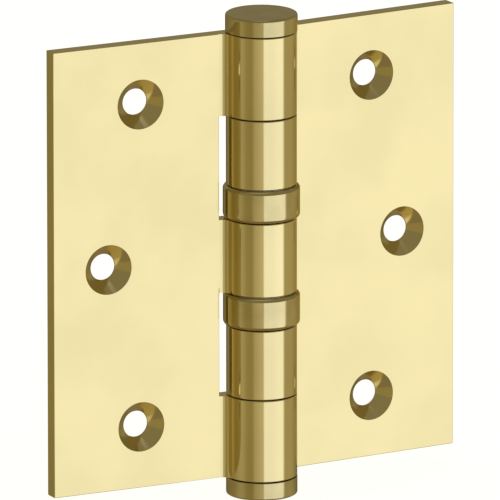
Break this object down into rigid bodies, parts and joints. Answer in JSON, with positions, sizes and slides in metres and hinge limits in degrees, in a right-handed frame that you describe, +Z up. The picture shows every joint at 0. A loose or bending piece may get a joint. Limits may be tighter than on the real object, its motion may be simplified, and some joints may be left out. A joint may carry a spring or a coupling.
{
  "type": "door hinge",
  "caption": "Square brass butt hinge: plate leaves with countersunk screw holes, interleaved knuckles on a lift-out pin with button tips, ball-bearing collars in the barrel.",
  "frame": {"origin": "on the pin's axis, at half the leaves' height, which is the middle of the object's box", "axes": "+Z up along the pin towards its head; the frame leaf reaches towards -X; +Y is the outward normal of the frame leaf's back, which lies on the frame, so the countersunk faces look along -Y. At rest the door leaf reaches towards +X, opened 184.5 degrees from closed"},
  "size_m": [0.1013, 0.0174, 0.1104],
  "materials": {
    "leaf_brass": "polished and lacquered brass",
    "tip_brass": "polished turned brass",
    "casing_brass": "polished turned brass",
    "cage_brass": "satin pressed brass",
    "pin_steel": "ground steel, lightly oiled",
    "race_steel": "ground hardened steel",
    "ball_steel": "polished chrome steel"
  },
  "bodies": {
    "frame_leaf": {"frame_leaf": "leaf_brass", "bottom_tip_plug": "tip_brass", "upper_bearing_casing": "casing_brass", "upper_bearing_bottom_race": "race_steel", "lower_bearing_top_race": "race_steel"},
    "door_leaf": {"door_leaf": "leaf_brass", "upper_bearing_top_race": "race_steel", "lower_bearing_casing": "casing_brass", "lower_bearing_bottom_race": "race_steel"},
    "pin": {"hinge_pin": "pin_steel", "pin_head_tip": "tip_brass"},
    "upper_ball_ring": {"upper_bearing_cage": "cage_brass", "upper_ball_01": "ball_steel", "upper_ball_02": "ball_steel", "upper_ball_03": "ball_steel", "upper_ball_04": "ball_steel", "upper_ball_05": "ball_steel", "upper_ball_06": "ball_steel", "upper_ball_07": "ball_steel", "upper_ball_08": "ball_steel", "upper_ball_09": "ball_steel", "upper_ball_10": "ball_steel", "upper_ball_11": "ball_steel", "upper_ball_12": "ball_steel"},
    "lower_ball_ring": {"lower_bearing_cage": "cage_brass", "lower_ball_01": "ball_steel", "lower_ball_02": "ball_steel", "lower_ball_03": "ball_steel", "lower_ball_04": "ball_steel", "lower_ball_05": "ball_steel", "lower_ball_06": "ball_steel", "lower_ball_07": "ball_steel", "lower_ball_08": "ball_steel", "lower_ball_09": "ball_steel", "lower_ball_10": "ball_steel", "lower_ball_11": "ball_steel", "lower_ball_12": "ball_steel"}
  },
  "joints": [
    {"name": "leaf_swing", "type": "hinge", "parent": "frame_leaf", "child": "door_leaf", "pos_m": [0, 0, 0], "axis": [0, 0, -1], "range_deg": [-122, 184.5]},
    {"name": "upper_ball_roll", "type": "hinge", "parent": "frame_leaf", "child": "upper_ball_ring", "pos_m": [0, 0, 0.0127], "axis": [0, 0, -1], "range_deg": [-61.5, 92.8]},
    {"name": "lower_ball_roll", "type": "hinge", "parent": "frame_leaf", "child": "lower_ball_ring", "pos_m": [0, 0, -0.0119], "axis": [0, 0, -1], "range_deg": [-61.5, 92.8]},
    {"name": "pin_lift", "type": "slide", "parent": "frame_leaf", "child": "pin", "axis": [0, 0, 1], "range_m": [0, 0.096]}
  ],
  "couplings": [
    {"joint": "upper_ball_roll", "follows": "leaf_swing", "ratio": 0.5},
    {"joint": "lower_ball_roll", "follows": "leaf_swing", "ratio": 0.5}
  ]
}
